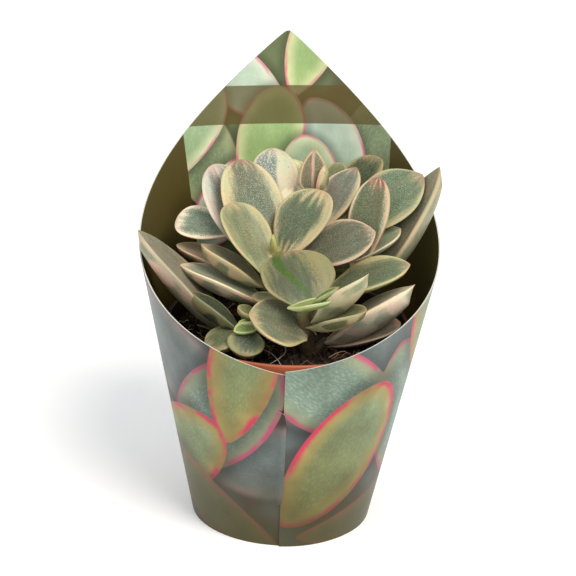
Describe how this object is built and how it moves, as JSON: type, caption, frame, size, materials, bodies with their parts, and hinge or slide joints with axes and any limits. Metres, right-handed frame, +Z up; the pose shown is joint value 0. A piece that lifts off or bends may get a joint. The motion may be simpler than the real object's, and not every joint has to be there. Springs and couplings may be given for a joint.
{
  "type": "potted money maker jade",
  "caption": "Variegated jade succulent with thick cupped leaves in a round plastic nursery pot, standing in a tall cone of printed card with a pointed back.",
  "frame": {"origin": "centre of the pot's foot, on the surface that the plant stands on", "axes": "+Z up, -Y towards the front, where the two ends of the card meet, +X to the right seen from the front"},
  "size_m": [0.1304, 0.1395, 0.1971],
  "materials": {
    "printed_card": "printed, semi-gloss",
    "pot_plastic": "matt",
    "soil": "rough",
    "stem": "satin",
    "leaf": "satin"
  },
  "bodies": {
    "root": {"card_sleeve": "printed_card", "nursery_pot": "pot_plastic", "soil": "soil", "stem_main": "stem", "stem_back": "stem", "stem_right": "stem", "stem_front": "stem", "stem_left": "stem", "leaf_main_upright": "leaf", "leaf_main_inner_left": "leaf", "leaf_main_inner_right": "leaf", "leaf_main_broad_right": "leaf", "leaf_main_back_left": "leaf", "leaf_main_mid_left": "leaf", "leaf_main_low_left": "leaf", "leaf_main_far_left": "leaf", "leaf_back_centre": "leaf", "leaf_back_rear": "leaf", "leaf_back_inner": "leaf", "leaf_back_side": "leaf", "leaf_right_inner": "leaf", "leaf_right_red_tip": "leaf", "leaf_right_broad": "leaf", "leaf_right_rear": "leaf", "leaf_right_hidden": "leaf", "leaf_right_tall": "leaf", "leaf_right_short": "leaf", "leaf_front_face": "leaf", "leaf_front_curled": "leaf", "leaf_front_cupped": "leaf", "leaf_front_nearest": "leaf", "leaf_front_low_right": "leaf", "leaf_front_lowest": "leaf", "leaf_front_shelf": "leaf", "leaf_front_under": "leaf", "leaf_left_long": "leaf", "leaf_left_narrow": "leaf", "leaf_left_lobe_left": "leaf", "leaf_left_lobe_right": "leaf", "leaf_left_olive": "leaf"}
  },
  "joints": []
}
